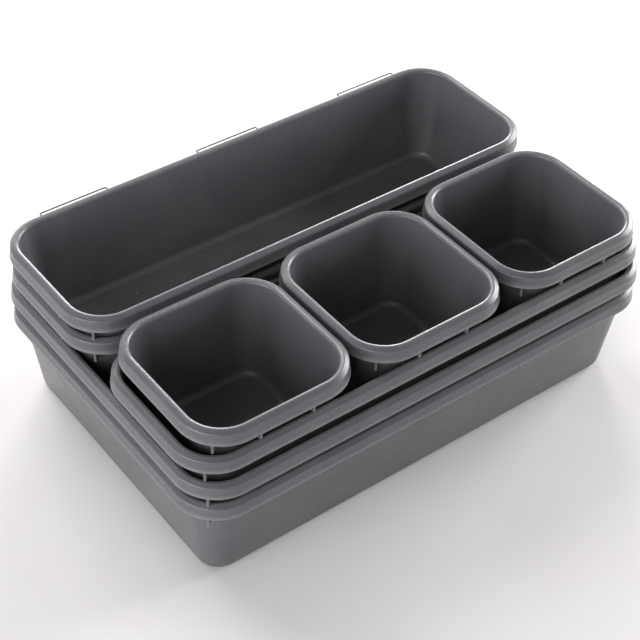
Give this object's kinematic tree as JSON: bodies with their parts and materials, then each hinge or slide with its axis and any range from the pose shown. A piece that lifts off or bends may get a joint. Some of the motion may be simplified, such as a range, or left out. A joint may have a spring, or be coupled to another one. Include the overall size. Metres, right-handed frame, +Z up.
{
  "type": "drawer organizer insert",
  "caption": "Nesting open trays for sorting small items in a drawer, each with tapered walls, rounded corners, a turned-over rim and ribs it stacks on.",
  "frame": {"origin": "middle of the underside of the lowest tray, on the surface it stands on", "axes": "+X along the long side, towards the right-hand small bin; the row of small bins faces -Y; +Z up out of the trays"},
  "size_m": [0.232, 0.156, 0.0802],
  "materials": {
    "grey_plastic": "satin moulded polypropylene, fine even grain"
  },
  "bodies": {
    "large_lower": {"large_tray_lower": "grey_plastic"},
    "large_upper": {"large_tray_upper": "grey_plastic"},
    "long_rear_lower": {"long_tray_rear_lower": "grey_plastic"},
    "long_rear_upper": {"long_tray_rear_upper": "grey_plastic"},
    "long_front": {"long_tray_front": "grey_plastic"},
    "bin_left": {"small_bin_left": "grey_plastic"},
    "bin_middle": {"small_bin_middle": "grey_plastic"},
    "bin_right": {"small_bin_right": "grey_plastic"}
  },
  "joints": [
    {"name": "large_upper_lift", "type": "slide", "parent": "large_lower", "child": "large_upper", "axis": [0, 0, 1], "range_m": [0, 0.045]},
    {"name": "long_rear_lower_lift", "type": "slide", "parent": "large_upper", "child": "long_rear_lower", "axis": [0, 0, 1], "range_m": [0, 0.067]},
    {"name": "long_rear_upper_lift", "type": "slide", "parent": "long_rear_lower", "child": "long_rear_upper", "axis": [0, 0, 1], "range_m": [0, 0.056]},
    {"name": "long_front_lift", "type": "slide", "parent": "large_upper", "child": "long_front", "axis": [0, 0, 1], "range_m": [0, 0.067]},
    {"name": "bin_left_lift", "type": "slide", "parent": "long_front", "child": "bin_left", "axis": [0, 0, 1], "range_m": [0, 0.056]},
    {"name": "bin_middle_lift", "type": "slide", "parent": "long_front", "child": "bin_middle", "axis": [0, 0, 1], "range_m": [0, 0.056]},
    {"name": "bin_right_lift", "type": "slide", "parent": "long_front", "child": "bin_right", "axis": [0, 0, 1], "range_m": [0, 0.056]}
  ]
}
